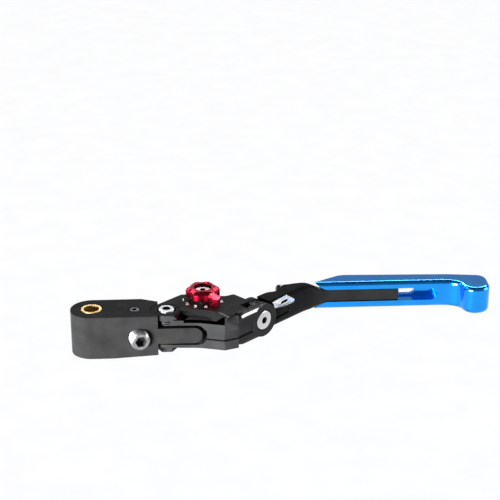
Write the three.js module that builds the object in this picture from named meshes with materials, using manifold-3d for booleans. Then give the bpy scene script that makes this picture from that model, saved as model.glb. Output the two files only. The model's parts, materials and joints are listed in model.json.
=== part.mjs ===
// Clutch lever with a folding, extending blade and a six-position reach dial.
//
// Millimetres. Origin: on the perch pivot's axis, level with the middle of the arm's height.
// +X runs along the lever to its tip, +Y points to the handlebar grip, +Z up along the pivots.
//
// Every piece is one closed solid in its own named mesh.

import * as THREE from 'three';
import { mergeVertices } from 'three/addons/utils/BufferGeometryUtils.js';
import Module from 'manifold-3d';

const wasm = await Module();
wasm.setup();

// ---- driving dimensions -------------------------------------------------------------------

const GAP = 0.3; // clearance between pieces that meet
const OVER = 1; // how far a cutting tool reaches past what it cuts
const FAR = 60; // a reach past every edge of one piece

// places in plan
const ARM_PIVOT = [39.4, -2.2]; // axis that the arm turns on for reach
const KNOB = [59, 10.6]; // axis of the reach dial
const BOLT = [91.5, 1.0]; // fold bolt, where its axis meets the arm's front face
const FOLD_HEADING = 43; // degrees from +X that the arm runs at past the dial

// base, the piece that swings on the perch pivot and pushes the master cylinder
const BASE = {
  radius: 11.2, // round end, and half the block's depth
  right: 34.8,
  backTaper: 26, // where its back corner is cut off, down to taperBack
  taperBack: 7.5,
  top: 9.5,
  bottom: -14.3,
  bottomRight: -12.9, // its underside rises to this at the right
  bore: 5.8,
};
const TONGUE = {
  top: 2.4,
  bottom: -6.4,
  root: 22.8,
  nose: 58.2,
  padRight: 63,
  padFront: -4,
  padBack: 4.3,
  padStep: 0.2, // the pad stands this far inside the tongue's faces
  back: 3.3,
};

// arm
const ARM = {
  half: 9.2, // half its height, and the round end of each hinge cheek
  left: 19.4, // left end of the room for the tongue
  pivotRadius: 8.1,
  swing: 0.4, // room around the pivot's round end
  forkTop: 3.9,
  forkBottom: -7.5,
  springRoof: 6.2, // underside of the top plate over the return spring
  lipRoof: 7.1, // underside of the top plate over the base block
  pocketFloor: 6.6,
  forkEnd: 60.7,
  cavityRight: 66,
  cavityFront: -6,
  chamfer: 2,
};

// hinge: layers by depth behind the arm's front face, and lengths along the arm from the bolt
const HINGE = {
  frontCheek: [0, 3.8],
  frontLug: [4.1, 6.4],
  rearLug: [7.9, 8.9],
  rearCheek: [9.2, 12.4],
  lugRadius: 8.9,
  lugBridge: 5.5, // half height of what joins a lug to the blade
  bridgeEnd: 12.5,
  faceStart: -19.6,
  cheekStart: -24,
  slotEnd: -9.5,
  rearStart: -12.5, // where the rear cheek leaves the arm
  armEnd: -0.6,
  armBack: 17.6, // depth of the arm's back corner
  foldAngle: 60,
};

// blade
const BLADE = {
  half: 8.5,
  bevel: 1.5,
  chamfer: [3.4, 4.2], // depth and height of the slopes along its front edges
  chamferEnd: 36, // along the arm from the bolt
  front: 29.8,
  railBack: 35.4,
  railHalf: 3.35,
  railEnd: 167.5,
  flareStart: 116.5,
  flareEnd: 128,
  shoulderX: 99,
};
const TIP = {
  half: 7.8,
  bevel: 2.2,
  front: 29.5,
  bulbFront: 18,
  end: 217.1,
  slotHalf: 3.65,
  slotEnd: 189,
  floor: 35.7, // back of the front slot
  webBack: 38.2, // front of the rear groove
  webHalf: 2.6,
  webSlot: [131, 177],
  groove: [128, 180],
  grooveHalf: 4.4,
};
const LOCK_X = 157; // where the tip's lock screw stands
const KEY = [154, 163]; // ends of the rail's key, which keeps the tip straight

// adjuster, a threaded stud through the base
const ADJUSTER = { x: 24.8, z: -2.8, tilt: 15, radius: 5.3, proud: 4.6, tail: 1.0, socket: 2.9 };

// small hardware
const BUSH = { outer: 5.5, inner: 4.1, proud: 0.3 };
const LOCK_GRUB = { at: [22.6, -1.0], radius: 2.5, top: 9.3, socket: 1.4, socketFloor: 7.0 };
const PIVOT = {
  shank: 3.0,
  end: -14.2,
  head: 4.35,
  headSeat: 7.4,
  headTop: 10.0,
  well: 5.2,
  socket: 2.4,
  socketFloor: 8.4,
  nut: 5.5,
  nutHeight: 4,
  bush: 4.5,
};
const WASHER = { outer: 5.5, inner: 3.4, thick: 0.5 };
const RETURN_SPRING = { middle: 6.1, wire: 0.45, turns: 2.25, pitch: 1.05, start: 270, leg: 12 };
const DIAL = {
  outer: 9.2,
  bore: 4.7,
  bottom: 10.9,
  floor: 12.3,
  top: 15.2,
  bevel: 0.6,
  lobes: 6,
  lobeDepth: 1.2,
  pointer: -57, // degrees from +X
  pointerReach: 14.5,
  pointerHalf: 2.4,
  pointerBottom: 9.7,
  pointerTop: 13.6, // at its far end
};
const CAM = {
  shaft: 3.0,
  shaftTop: 12.5,
  foot: 2.4,
  end: -10.6,
  throw: 6.0, // radius at the contact when the reach is at rest
  lift: 1.18, // what the radius gains per radian
  positions: [-120, 30], // degrees that the dial turns each way
  back: 3.9,
  screwBore: 1.9,
  screwFloor: 5,
};
const DIAL_SCREW = {
  shank: 1.6,
  end: 5.3,
  head: 4.3,
  seat: 12.8,
  top: 14.0,
  socket: 1.7,
  socketFloor: 13.3,
};
const COLLAR = { outer: 4.4 };
const CLIP = { outer: 4.0, bottom: -10.3 };
const DETENT = { at: [KNOB[0] - 4.2, KNOB[1] + 5.2], radius: 1.2, floor: 5.2 };
const DETENT_SPRING = { middle: 0.85, wire: 0.25, turns: 3, pitch: 0.8, start: 0, leg: 0.2 };
const FOLD_BOLT = { head: 5.5, headDepth: 1.6, shank: 3.5, socket: 2.1 };
const FOLD_BUSH = { outer: 5.0 };
const FOLD_NUT = { radius: 5.0, front: 10.9, back: 12.3 };
const FOLD_SPRING = { outer: 8.6, inner: 6.4 };
const LOCK_SCREW = {
  shank: 1.3,
  front: 32.4,
  head: 3.6,
  headFront: 39.2,
  back: 41.0,
  socket: 1.5,
  socketDepth: 1.1,
  washer: 4.0,
  washerThick: 0.5,
};
const STOP_PIN = { at: [102.2, 26.0], radius: 1.0, top: 9.0 };

const SIDES = 32; // sides of a round of middling size

// ---- helpers ------------------------------------------------------------------------------

const radians = THREE.MathUtils.degToRad;

// A closed solid from a geometry, moved by a matrix.
function solid(geometry, matrix = new THREE.Matrix4()) {
  const bare = new THREE.BufferGeometry();
  bare.setAttribute('position', geometry.getAttribute('position').clone());
  bare.setIndex(geometry.getIndex());
  bare.applyMatrix4(matrix);
  const merged = mergeVertices(bare, 1e-4);
  return new wasm.Manifold(new wasm.Mesh({
    numProp: 3,
    vertProperties: new Float32Array(merged.getAttribute('position').array),
    triVerts: new Uint32Array(merged.getIndex().array),
  }));
}

// An outline drawn in a frame's X and Y, extruded along its Z from low to high.
function prism(shape, low, high, frame = new THREE.Matrix4(), options = {}) {
  const geometry = new THREE.ExtrudeGeometry(shape, {
    depth: high - low,
    bevelEnabled: false,
    curveSegments: 10,
    ...options,
  });
  return solid(geometry, frame.clone().multiply(new THREE.Matrix4().makeTranslation(0, 0, low)));
}

// The same with all its outer edges chamfered by bevel.
function bevelled(shape, low, high, bevel, frame) {
  return prism(shape, low + bevel, high - bevel, frame, {
    bevelEnabled: true,
    bevelSize: bevel,
    bevelThickness: bevel,
    bevelOffset: -bevel,
    bevelSegments: 2,
  });
}

function polygon(points) {
  return new THREE.Shape(points.map(([x, y]) => new THREE.Vector2(x, y)));
}

function rectangle(left, front, right, back) {
  return polygon([[left, front], [right, front], [right, back], [left, back]]);
}

function circle(x, y, radius) {
  const shape = new THREE.Shape();
  shape.absarc(x, y, radius, 0, 2 * Math.PI, false);
  return shape;
}

function hexagon(x, y, radius) {
  const corners = [...Array(6).keys()].map((i) => radians(60 * i));
  return polygon(corners.map((a) => [x + radius * Math.cos(a), y + radius * Math.sin(a)]));
}

// A straight bar with round ends along X.
function slotShape(left, right, half, y = 0) {
  const shape = new THREE.Shape();
  shape.absarc(right - half, y, half, -Math.PI / 2, Math.PI / 2, false);
  shape.absarc(left + half, y, half, Math.PI / 2, 1.5 * Math.PI, false);
  return shape;
}

function cylinder(x, y, radius, low, high, frame, sides = SIDES) {
  return prism(circle(x, y, radius), low, high, frame, { curveSegments: sides / 2 });
}

function tube(x, y, outer, inner, low, high, frame, sides = SIDES) {
  const shape = circle(x, y, outer);
  shape.holes.push(circle(x, y, inner));
  return prism(shape, low, high, frame, { curveSegments: sides / 2 });
}

// A round section swept along a curve.
function wire(curve, radius, steps, frame) {
  const geometry = new THREE.ExtrudeGeometry(circle(0, 0, radius), {
    extrudePath: curve,
    steps,
    bevelEnabled: false,
    curveSegments: 3,
  });
  return solid(geometry, frame);
}

// Frames: X, Y and Z of each are the directions that an outline and its extrusion follow.
function frameAt(origin, x, y, z) {
  return new THREE.Matrix4()
    .makeBasis(new THREE.Vector3(...x), new THREE.Vector3(...y), new THREE.Vector3(...z))
    .setPosition(...origin);
}

// Outlines in X and Z, extruded forwards from y = 0, so depth d behind the origin is -d.
const ELEVATION = frameAt([0, 0, 0], [1, 0, 0], [0, 0, 1], [0, -1, 0]);

const headingX = Math.cos(radians(FOLD_HEADING));
const headingY = Math.sin(radians(FOLD_HEADING));

// Outlines along the arm (u) and up, seen from the front of the hinge.
const HINGE_FRAME = frameAt([...BOLT, 0], [headingX, headingY, 0], [0, 0, 1], [headingY, -headingX, 0]);

// A layer of the hinge, from depth front to depth back behind the arm's face.
function layer(shape, [front, back], make = prism, ...rest) {
  return make(shape, -back, -front, ...rest, HINGE_FRAME);
}

// Cross-sections of the arm, depth behind its face and height, extruded along it.
const SECTION_FRAME = frameAt([...BOLT, 0], [-headingY, headingX, 0], [0, 0, 1], [headingX, headingY, 0]);

// A point in plan, u along the arm from the bolt and n behind its front face.
function hingePlan(u, n) {
  return [BOLT[0] + u * headingX - n * headingY, BOLT[1] + u * headingY + n * headingX];
}

const tiltX = Math.sin(radians(ADJUSTER.tilt));
const tiltY = Math.cos(radians(ADJUSTER.tilt));
const ADJUSTER_FRAME = frameAt(
  [ADJUSTER.x, -BASE.radius, ADJUSTER.z],
  [tiltY, tiltX, 0],
  [0, 0, 1],
  [tiltX, -tiltY, 0],
);

// ---- materials and the group --------------------------------------------------------------

const FINISH = {
  black: { color: 0x1c1d1f, roughness: 0.5, metalness: 0.6 },
  steel: { color: 0xb9bcc0, roughness: 0.3, metalness: 1.0 },
  darkSteel: { color: 0x35373a, roughness: 0.45, metalness: 0.9 },
  bronze: { color: 0xa8834a, roughness: 0.45, metalness: 0.9 },
  crimson: { color: 0xc01a34, roughness: 0.25, metalness: 0.8 },
  blue: { color: 0x0064c8, roughness: 0.2, metalness: 0.8 },
};

const lever = new THREE.Group();

function add(name, body, finish) {
  const { vertProperties, triVerts } = body.getMesh();
  const geometry = new THREE.BufferGeometry();
  geometry.setAttribute('position', new THREE.BufferAttribute(vertProperties, 3));
  geometry.setIndex(new THREE.BufferAttribute(triVerts, 1));
  geometry.computeVertexNormals();
  const mesh = new THREE.Mesh(geometry, new THREE.MeshStandardMaterial(FINISH[finish]));
  mesh.name = name;
  lever.add(mesh);
}

// ---- base ---------------------------------------------------------------------------------

// The sleeve that the perch's pivot bolt clamps, on which the whole lever swings.
function pivotBush() {
  return tube(0, 0, BUSH.outer, BUSH.inner, BASE.bottom - BUSH.proud, BASE.top + BUSH.proud);
}

// The room that the arm's plates sweep in plan as the reach changes.
function armSweep() {
  const reach = ARM.pivotRadius + ARM.swing;
  const backAngle = 137;
  const shape = new THREE.Shape();
  shape.absarc(...ARM_PIVOT, reach, radians(backAngle), radians(270), false);
  shape.lineTo(ARM_PIVOT[0] + FAR, ARM_PIVOT[1] - reach);
  shape.lineTo(ARM_PIVOT[0] + FAR, ARM_PIVOT[1] + FAR);
  return shape;
}

function leverBase() {
  const block = new THREE.Shape();
  block.absarc(0, 0, BASE.radius, radians(90), radians(270), false);
  block.lineTo(BASE.right, -BASE.radius);
  block.lineTo(BASE.right, BASE.taperBack);
  block.lineTo(BASE.backTaper, BASE.radius);

  const slope = (BASE.bottomRight - BASE.bottom) / (BASE.right - BASE.radius);
  const tongueHalf = (TONGUE.top - TONGUE.bottom) / 2;
  const tongueMiddle = (TONGUE.top + TONGUE.bottom) / 2;
  const tongueSide = slotShape(TONGUE.root, TONGUE.nose, tongueHalf, tongueMiddle);
  const pad = rectangle(BASE.right, TONGUE.padFront, TONGUE.padRight, TONGUE.padBack);

  // what is cut away under the block, where its underside rises
  const rise = polygon([
    [BASE.radius, BASE.bottom],
    [FAR, BASE.bottom - OVER],
    [FAR, BASE.bottom + slope * (FAR - BASE.radius)],
  ]);

  return prism(block, BASE.bottom, BASE.top)
    .subtract(prism(rise, -FAR, FAR, ELEVATION))
    .subtract(prism(armSweep(), ARM.lipRoof - GAP, BASE.top + OVER))
    .subtract(prism(armSweep(), BASE.bottom - OVER, TONGUE.bottom - GAP))
    .subtract(cylinder(...ARM_PIVOT, ARM.pivotRadius + ARM.swing, TONGUE.top, BASE.top + OVER))
    .add(prism(tongueSide, -TONGUE.back, BASE.radius, ELEVATION))
    .add(prism(pad, TONGUE.bottom + TONGUE.padStep, TONGUE.top - TONGUE.padStep))
    .subtract(cylinder(0, 0, BASE.bore, BASE.bottom - OVER, BASE.top + OVER))
    .subtract(cylinder(...ARM_PIVOT, PIVOT.bush + GAP, TONGUE.bottom - OVER, TONGUE.top + OVER))
    .subtract(cylinder(0, 0, ADJUSTER.radius + GAP, -FAR, FAR, ADJUSTER_FRAME))
    .subtract(cylinder(...LOCK_GRUB.at, LOCK_GRUB.radius + GAP, ADJUSTER.z, BASE.top + OVER));
}

// Threaded stud that bears on the master cylinder's pushrod, with a socket in its front end.
function adjusterScrew() {
  const through = (2 * BASE.radius) / tiltY + ADJUSTER.tail;
  return cylinder(0, 0, ADJUSTER.radius, -through, ADJUSTER.proud, ADJUSTER_FRAME)
    .subtract(prism(hexagon(0, 0, ADJUSTER.socket), 0, ADJUSTER.proud + OVER, ADJUSTER_FRAME));
}

// Grub screw in the top of the base that grips the adjuster.
function adjusterLockScrew() {
  const low = ADJUSTER.z + ADJUSTER.radius + GAP;
  return cylinder(...LOCK_GRUB.at, LOCK_GRUB.radius, low, LOCK_GRUB.top)
    .subtract(prism(hexagon(...LOCK_GRUB.at, LOCK_GRUB.socket), LOCK_GRUB.socketFloor, FAR));
}

add('pivot_bush', pivotBush(), 'bronze');
add('lever_base', leverBase(), 'black');
add('adjuster_screw', adjusterScrew(), 'steel');
add('adjuster_lock_screw', adjusterLockScrew(), 'darkSteel');

// ---- arm pivot ----------------------------------------------------------------------------

function armPivotScrew() {
  return cylinder(...ARM_PIVOT, PIVOT.shank, PIVOT.end, PIVOT.headSeat + OVER)
    .add(cylinder(...ARM_PIVOT, PIVOT.head, PIVOT.headSeat + GAP, PIVOT.headTop))
    .subtract(prism(hexagon(...ARM_PIVOT, PIVOT.socket), PIVOT.socketFloor, FAR));
}

function armPivotNut() {
  const top = -ARM.half - GAP;
  return prism(hexagon(...ARM_PIVOT, PIVOT.nut), top - PIVOT.nutHeight, top)
    .subtract(cylinder(...ARM_PIVOT, PIVOT.shank + GAP, -FAR, 0));
}

function armPivotBush() {
  return tube(...ARM_PIVOT, PIVOT.bush, PIVOT.shank + GAP, TONGUE.bottom, TONGUE.top);
}

function armThrustWasher() {
  const top = TONGUE.bottom - GAP;
  return tube(...ARM_PIVOT, WASHER.outer, WASHER.inner, top - WASHER.thick, top);
}

// A coil of round wire, wound clockwise upwards about a Z axis, with a straight leg at its foot.
function coil(x, y, z, { middle, wire: thick, turns, pitch, start, leg }) {
  const steps = 16 * turns;
  const foot = radians(start);
  const points = [...Array(steps + 1).keys()].map((i) => {
    const angle = foot - (2 * Math.PI * turns * i) / steps;
    return new THREE.Vector3(
      x + middle * Math.cos(angle),
      y + middle * Math.sin(angle),
      z + (pitch * turns * i) / steps,
    );
  });
  points.unshift(points[0].clone().add(new THREE.Vector3(-leg * Math.sin(foot), leg * Math.cos(foot), 0)));
  return wire(new THREE.CatmullRomCurve3(points, false, 'centripetal'), thick, steps + 4);
}

const returnSpringFoot = TONGUE.top + GAP + RETURN_SPRING.wire;

add('arm_pivot_screw', armPivotScrew(), 'steel');
add('arm_pivot_nut', armPivotNut(), 'steel');
add('arm_pivot_bush', armPivotBush(), 'bronze');
add('arm_thrust_washer', armThrustWasher(), 'bronze');
add('arm_return_spring', coil(...ARM_PIVOT, returnSpringFoot, RETURN_SPRING), 'darkSteel');

// ---- arm ----------------------------------------------------------------------------------

function armOutline() {
  const shape = new THREE.Shape();
  shape.absarc(...ARM_PIVOT, ARM.pivotRadius, radians(133), radians(268), false);
  shape.lineTo(56.5, -11.4);
  shape.lineTo(69.7, -15.1);
  shape.lineTo(...hingePlan(HINGE.faceStart, 0));
  shape.lineTo(...hingePlan(HINGE.armEnd, 0));
  shape.lineTo(...hingePlan(HINGE.armEnd, HINGE.armBack));
  shape.quadraticCurveTo(76.6, 16.4, 72.6, 13.6);
  shape.quadraticCurveTo(69.0, 12.2, 66.0, 15.0);
  shape.quadraticCurveTo(60.0, 18.6, 54.0, 16.4);
  shape.lineTo(47.4, 16.2);
  return shape;
}

// Sunk step along the front of the arm's top face.
function armPocket() {
  return polygon([
    [42, -12.5],
    [46.5, -3.4],
    [54.5, -3],
    [60, -4.6],
    [64, -6.4],
    [71.5, -17],
    [42, -17],
  ]);
}

function armBody() {
  // room for the tongue, open to the left, front and back
  const forkHalf = (ARM.forkTop - ARM.forkBottom) / 2;
  const forkMiddle = (ARM.forkTop + ARM.forkBottom) / 2;
  const fork = slotShape(ARM.left, ARM.forkEnd, forkHalf, forkMiddle);
  const cavity = rectangle(ARM.left, ARM.cavityFront, ARM.cavityRight, FAR);
  const overBase = rectangle(0, -FAR, BASE.right + ARM.swing, FAR);

  // the hinge's two cheeks, the front one chamfered along its edge
  const cheek = slotShape(HINGE.cheekStart, ARM.half, ARM.half);
  const face = rectangle(HINGE.faceStart, -FAR, FAR, FAR);
  const frontCheek = layer(cheek, [0, 2 * HINGE.frontCheek[1]], bevelled, ARM.chamfer);
  const rearCheek = layer(cheek, HINGE.rearCheek);
  const rearRoot = rectangle(HINGE.rearStart, -FAR, FAR, FAR);
  const slot = rectangle(HINGE.slotEnd, -FAR, FAR, FAR);
  const holeDepth = -FOLD_BOLT.headDepth - GAP;

  return prism(armOutline(), -ARM.half, ARM.half)
    .subtract(layer(face, [-OVER, HINGE.frontCheek[1]]))
    .add(frontCheek.intersect(layer(face, HINGE.frontCheek)))
    .subtract(layer(slot, [HINGE.frontCheek[1], HINGE.rearCheek[0]]))
    .subtract(layer(circle(0, 0, ARM.half + GAP), [HINGE.rearCheek[1], FAR]))
    .add(rearCheek.intersect(layer(rearRoot, HINGE.rearCheek)))
    .subtract(prism(fork, -FAR, FAR, ELEVATION))
    .subtract(prism(cavity, ARM.forkBottom, ARM.forkTop))
    .subtract(cylinder(...ARM_PIVOT, ARM.pivotRadius + GAP, 0, ARM.springRoof))
    .subtract(prism(overBase, -OVER, ARM.lipRoof))
    .subtract(prism(armPocket(), ARM.pocketFloor, FAR))
    .subtract(cylinder(...ARM_PIVOT, PIVOT.shank + GAP, -FAR, FAR))
    .subtract(cylinder(...ARM_PIVOT, PIVOT.well, PIVOT.headSeat, FAR))
    .subtract(cylinder(...KNOB, CAM.shaft + GAP, 0, FAR))
    .subtract(cylinder(...KNOB, CAM.foot + GAP, -FAR, 0))
    .subtract(cylinder(...DETENT.at, DETENT.radius + GAP, DETENT.floor, FAR))
    .subtract(cylinder(0, 0, FOLD_BOLT.shank + GAP, -FAR, OVER, HINGE_FRAME))
    .subtract(cylinder(0, 0, FOLD_BOLT.head + GAP, holeDepth, OVER, HINGE_FRAME))
    .subtract(cylinder(0, 0, FOLD_NUT.radius + GAP, -FAR, -FOLD_NUT.front + GAP, HINGE_FRAME));
}

// ---- reach dial ---------------------------------------------------------------------------

// Lobed ring with a tapering pointer.
function selectorKnob() {
  const heading = radians(DIAL.pointer);
  const steps = 10 * DIAL.lobes;
  const rim = [...Array(steps).keys()].map((i) => {
    const angle = (2 * Math.PI * i) / steps;
    const dip = (DIAL.lobeDepth / 2) * (1 - Math.cos(DIAL.lobes * (angle - heading)));
    const radius = DIAL.outer - dip;
    return [KNOB[0] + radius * Math.cos(angle), KNOB[1] + radius * Math.sin(angle)];
  });
  const pointerRoot = DIAL.bore + 1;
  const side = polygon([
    [pointerRoot, DIAL.bottom],
    [DIAL.outer, DIAL.bottom],
    [DIAL.outer + 1, DIAL.pointerBottom],
    [DIAL.pointerReach, DIAL.pointerBottom],
    [DIAL.pointerReach, DIAL.pointerTop],
    [pointerRoot, DIAL.top - DIAL.bevel / 2],
  ]);
  const pointerFrame = frameAt(
    [...KNOB, 0],
    [Math.cos(heading), Math.sin(heading), 0],
    [0, 0, 1],
    [Math.sin(heading), -Math.cos(heading), 0],
  );
  return bevelled(polygon(rim), DIAL.bottom, DIAL.top, DIAL.bevel)
    .add(prism(side, -DIAL.pointerHalf, DIAL.pointerHalf, pointerFrame))
    .subtract(cylinder(...KNOB, DIAL.bore, DIAL.floor, FAR))
    .subtract(cylinder(...KNOB, CAM.shaft + GAP, 0, FAR));
}

// Shaft with a snail cam that holds the tongue off: its radius falls as the dial turns back.
function selectorCam() {
  const [first, last] = CAM.positions;
  const contact = -90; // degrees from +X to where the cam meets the tongue's pad
  const steps = 30;
  const working = [...Array(steps + 1).keys()].map((i) => {
    const turned = last - ((last - first) * i) / steps;
    return [contact - turned, CAM.throw + CAM.lift * radians(turned)];
  });
  const idle = [60, 90, 120, 150, 180, 210].map((angle) => [angle, CAM.back]);
  const snail = polygon([...working, ...idle].map(([angle, radius]) => [
    KNOB[0] + radius * Math.cos(radians(angle)),
    KNOB[1] + radius * Math.sin(radians(angle)),
  ]));
  return prism(snail, ARM.forkBottom + GAP, ARM.forkTop - GAP)
    .add(cylinder(...KNOB, CAM.shaft, 0, CAM.shaftTop))
    .add(cylinder(...KNOB, CAM.foot, CAM.end, 0))
    .subtract(cylinder(...KNOB, CAM.screwBore, CAM.screwFloor, FAR));
}

function selectorScrew() {
  return cylinder(...KNOB, DIAL_SCREW.shank, DIAL_SCREW.end, DIAL_SCREW.seat + OVER)
    .add(cylinder(...KNOB, DIAL_SCREW.head, DIAL_SCREW.seat, DIAL_SCREW.top))
    .subtract(prism(hexagon(...KNOB, DIAL_SCREW.socket), DIAL_SCREW.socketFloor, FAR));
}

function selectorCollar() {
  return tube(...KNOB, COLLAR.outer, CAM.shaft + GAP, ARM.half + GAP, DIAL.bottom - GAP);
}

function camClip() {
  return tube(...KNOB, CLIP.outer, CAM.foot + GAP, CLIP.bottom, -ARM.half - GAP);
}

// Ball that clicks into the underside of the dial, and the spring that lifts it.
function detentBall() {
  const ball = new THREE.SphereGeometry(DETENT.radius, 12, 8);
  ball.translate(...DETENT.at, DIAL.bottom - GAP - DETENT.radius);
  return solid(ball);
}

const detentSpringFoot = DETENT.floor + GAP + DETENT_SPRING.wire;

add('arm_body', armBody(), 'black');
add('selector_knob', selectorKnob(), 'crimson');
add('selector_cam', selectorCam(), 'darkSteel');
add('selector_screw', selectorScrew(), 'steel');
add('selector_collar', selectorCollar(), 'steel');
add('cam_clip', camClip(), 'steel');
add('detent_ball', detentBall(), 'steel');
add('detent_spring', coil(...DETENT.at, detentSpringFoot, DETENT_SPRING), 'steel');

// ---- hinge pieces -------------------------------------------------------------------------

// Bolt with a flush round head and a hexagon socket; its thread end takes the lock nut.
function foldBolt() {
  return cylinder(0, 0, FOLD_BOLT.shank, -FOLD_NUT.back, 0, HINGE_FRAME)
    .add(cylinder(0, 0, FOLD_BOLT.head, -FOLD_BOLT.headDepth, 0, HINGE_FRAME))
    .subtract(prism(hexagon(0, 0, FOLD_BOLT.socket), -FOLD_BOLT.headDepth, OVER, HINGE_FRAME));
}

// A ring about the bolt, from depth front to depth back.
function ringLayer(outer, inner, front, back) {
  return tube(0, 0, outer, inner, -back, -front, HINGE_FRAME);
}

function foldNut() {
  return ringLayer(FOLD_NUT.radius, FOLD_BOLT.shank + GAP, FOLD_NUT.front, FOLD_NUT.back);
}

function foldBush() {
  return ringLayer(FOLD_BUSH.outer, FOLD_BOLT.shank + GAP, HINGE.frontLug[0], HINGE.rearLug[1]);
}

// Flat coil between the two lugs that brings the blade back down, as a plain ring.
function foldSpring() {
  const front = HINGE.frontLug[1] + GAP;
  const back = HINGE.rearLug[0] - GAP;
  return ringLayer(FOLD_SPRING.outer, FOLD_SPRING.inner, front, back);
}

add('fold_bolt', foldBolt(), 'steel');
add('fold_nut', foldNut(), 'steel');
add('fold_bush', foldBush(), 'bronze');
add('fold_spring', foldSpring(), 'steel');

// ---- blade --------------------------------------------------------------------------------

function bladeOutline() {
  const bendStart = hingePlan(33.5, 0.4);
  const bendEnd = [132, BLADE.front];
  const corner = [123, BLADE.front];
  const shape = new THREE.Shape();
  shape.moveTo(...hingePlan(2, 0.4));
  shape.lineTo(...bendStart);
  shape.quadraticCurveTo(...corner, ...bendEnd);
  shape.lineTo(BLADE.railEnd, BLADE.front);
  shape.lineTo(BLADE.railEnd, BLADE.railBack);
  shape.lineTo(126.5, BLADE.railBack);
  shape.lineTo(119.5, 30.6);
  shape.quadraticCurveTo(112, 31.2, 104, 28.2);
  shape.lineTo(BLADE.shoulderX, 28.2);
  shape.lineTo(BLADE.shoulderX, 20.4);
  shape.lineTo(...hingePlan(13, 12.0));
  shape.lineTo(...hingePlan(2, 12.4));
  return shape;
}

// The blade's height seen from the front: full to the flare, then down to the rail.
function bladeElevation(grow = 0) {
  const half = BLADE.half + grow;
  const rail = BLADE.railHalf + grow;
  const middle = (BLADE.flareStart + BLADE.flareEnd) / 2;
  const end = BLADE.railEnd + grow;
  const shape = new THREE.Shape();
  shape.moveTo(BLADE.flareStart - FAR, -half);
  shape.lineTo(BLADE.flareStart, -half);
  shape.bezierCurveTo(middle, -half, middle, -rail, BLADE.flareEnd + grow, -rail);
  shape.lineTo(end - 1, -rail);
  shape.lineTo(end, -rail + 1);
  shape.lineTo(end, rail - 1);
  shape.lineTo(end - 1, rail);
  shape.lineTo(BLADE.flareEnd + grow, rail);
  shape.bezierCurveTo(middle, rail, middle, half, BLADE.flareStart, half);
  shape.lineTo(BLADE.flareStart - FAR, half);
  return shape;
}

// Wedge that slopes the blade's upper (side 1) or lower (side -1) front edge.
function frontSlope(side) {
  const [depth, height] = BLADE.chamfer;
  const points = [
    [0, BLADE.half - height],
    [depth, BLADE.half],
    [depth, FAR],
    [-FAR, FAR],
    [-FAR, BLADE.half - height],
  ];
  const wedge = polygon(points.map(([n, z]) => [n, side * z]));
  return prism(wedge, -OVER, BLADE.chamferEnd, SECTION_FRAME);
}

function foldingArm() {
  // the cheeks' rounds, and what their top sweeps as the blade folds upwards
  const clear = ARM.half + GAP;
  const swept = new THREE.Shape();
  const tangent = radians(90 - HINGE.foldAngle);
  swept.moveTo(-FAR, -clear);
  swept.lineTo(0, -clear);
  swept.absarc(0, 0, clear, -Math.PI / 2, tangent, false);
  swept.lineTo(
    clear * Math.cos(tangent) - FAR * Math.sin(tangent),
    clear * Math.sin(tangent) + FAR * Math.cos(tangent),
  );
  const key = rectangle(KEY[0], BLADE.railBack - OVER, KEY[1], TIP.webBack - GAP);
  let body = bevelled(bladeOutline(), -BLADE.half, BLADE.half, BLADE.bevel)
    .intersect(prism(bladeElevation(), -FAR, OVER, ELEVATION))
    .subtract(layer(swept, [-FAR, HINGE.rearCheek[1] + GAP]))
    .subtract(frontSlope(1))
    .subtract(frontSlope(-1));
  for (const depths of [HINGE.frontLug, HINGE.rearLug]) {
    const bridge = rectangle(0, -HINGE.lugBridge, HINGE.bridgeEnd, HINGE.lugBridge);
    body = body.add(layer(circle(0, 0, HINGE.lugRadius), depths)).add(layer(bridge, depths));
  }
  return body
    .add(prism(key, -TIP.webHalf + GAP, TIP.webHalf - GAP))
    .subtract(cylinder(0, 0, FOLD_BUSH.outer + GAP, -FAR, FAR, HINGE_FRAME))
    .subtract(cylinder(LOCK_X, 0, LOCK_SCREW.shank + GAP, -FAR, GAP - LOCK_SCREW.front, ELEVATION))
    .subtract(cylinder(...STOP_PIN.at, STOP_PIN.radius + GAP, 0, FAR));
}

add('folding_arm', foldingArm(), 'black');
add('fold_stop_pin', cylinder(...STOP_PIN.at, STOP_PIN.radius, GAP, STOP_PIN.top), 'steel');

// ---- tip ----------------------------------------------------------------------------------

function tipOutline() {
  const shape = new THREE.Shape();
  shape.moveTo(121.5, TIP.front);
  shape.lineTo(190.5, TIP.front);
  shape.bezierCurveTo(197, TIP.front, 200.8, 27.4, 201.9, 23.8);
  shape.bezierCurveTo(202.9, 20.2, 205.6, TIP.bulbFront, 209, TIP.bulbFront);
  shape.bezierCurveTo(213.6, TIP.bulbFront, TIP.end, 21, TIP.end, 25.4);
  shape.lineTo(TIP.end, 30.5);
  shape.bezierCurveTo(TIP.end, 35, 214.6, 37.6, 210.6, 37.8);
  shape.lineTo(196, 39.7);
  shape.lineTo(138.5, 41.8);
  shape.quadraticCurveTo(134.4, 41.6, 132, 39.8);
  return shape;
}

function leverTip() {
  const frontSlot = slotShape(TIP.webSlot[0] - FAR, TIP.slotEnd, TIP.slotHalf);
  const webSlot = slotShape(...TIP.webSlot, TIP.webHalf);
  const groove = slotShape(...TIP.groove, TIP.grooveHalf);
  return bevelled(tipOutline(), -TIP.half, TIP.half, TIP.bevel)
    .subtract(prism(frontSlot, -TIP.floor, OVER, ELEVATION))
    .subtract(prism(webSlot, -FAR, OVER, ELEVATION))
    .subtract(prism(groove, -FAR, -TIP.webBack, ELEVATION))
    .subtract(prism(bladeElevation(GAP), -TIP.floor, OVER, ELEVATION));
}

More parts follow.
